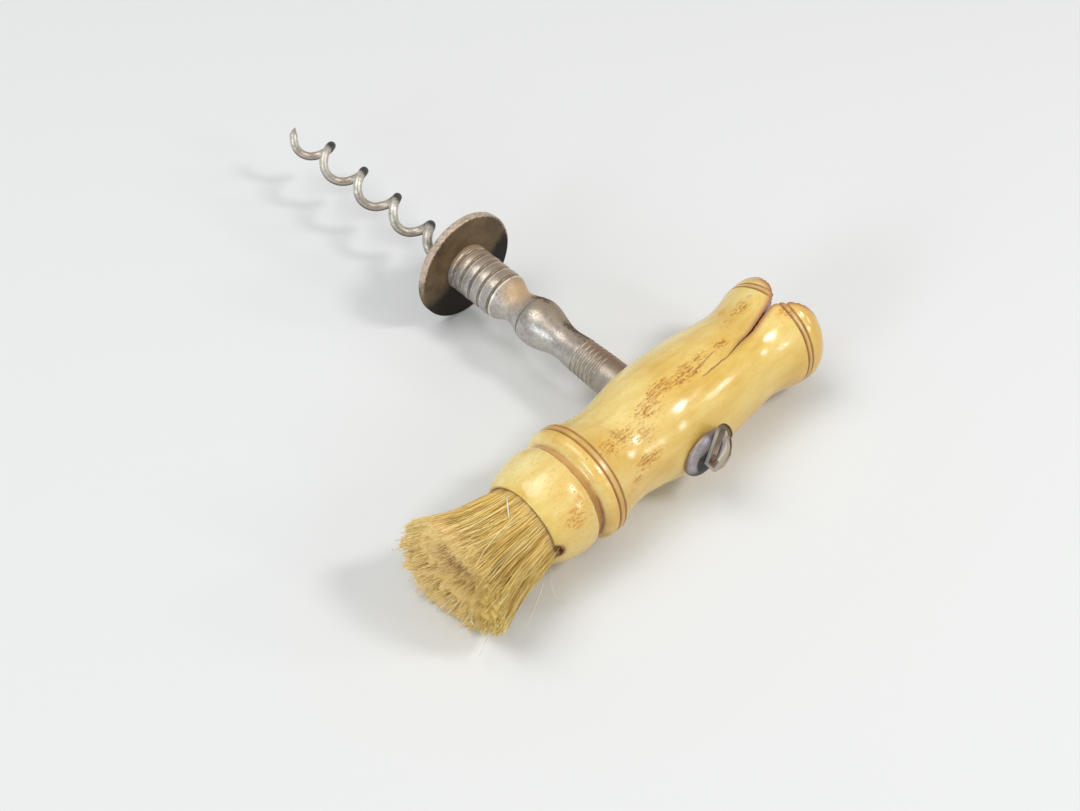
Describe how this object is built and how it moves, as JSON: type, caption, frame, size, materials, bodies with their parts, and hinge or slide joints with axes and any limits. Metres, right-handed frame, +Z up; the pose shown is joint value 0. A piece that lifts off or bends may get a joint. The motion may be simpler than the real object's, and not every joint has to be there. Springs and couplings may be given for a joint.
{
  "type": "corkscrew",
  "caption": "Straight-pull T-handle corkscrew: turned bone handle with a dusting brush, baluster shank, round button, pointed worm and a small hanging eye.",
  "frame": {"origin": "on the ground under the middle of the whole corkscrew as it lies on its side", "axes": "+Y along the shank from the handle to the worm's point, +X along the handle away from the brush, +Z up"},
  "size_m": [0.1028, 0.143, 0.0268],
  "materials": {
    "bone": "polished",
    "wood": "plain",
    "bristle": "natural bristle",
    "thread": "waxed",
    "pitch": "set pitch",
    "shank_steel": "worn, with brown patina",
    "worm_steel": "worn bright",
    "braze": "dull"
  },
  "bodies": {
    "corkscrew": {"bone_handle": "bone", "wood_core": "wood", "end_plug": "wood", "bristle_tuft": "bristle", "tuft_binding": "thread", "pitch_plug": "pitch", "shank": "shank_steel", "button_disc": "shank_steel", "worm": "worm_steel", "braze_fillet": "braze", "cross_pin": "worm_steel", "tang_washer": "shank_steel"},
    "hanging_eye": {"hanging_loop": "worm_steel"}
  },
  "joints": [
    {"name": "hanging_eye_swivel", "type": "hinge", "parent": "corkscrew", "child": "hanging_eye", "pos_m": [0.01005, -0.06686, 0.01347], "axis": [0, 1, 0], "continuous": true}
  ]
}
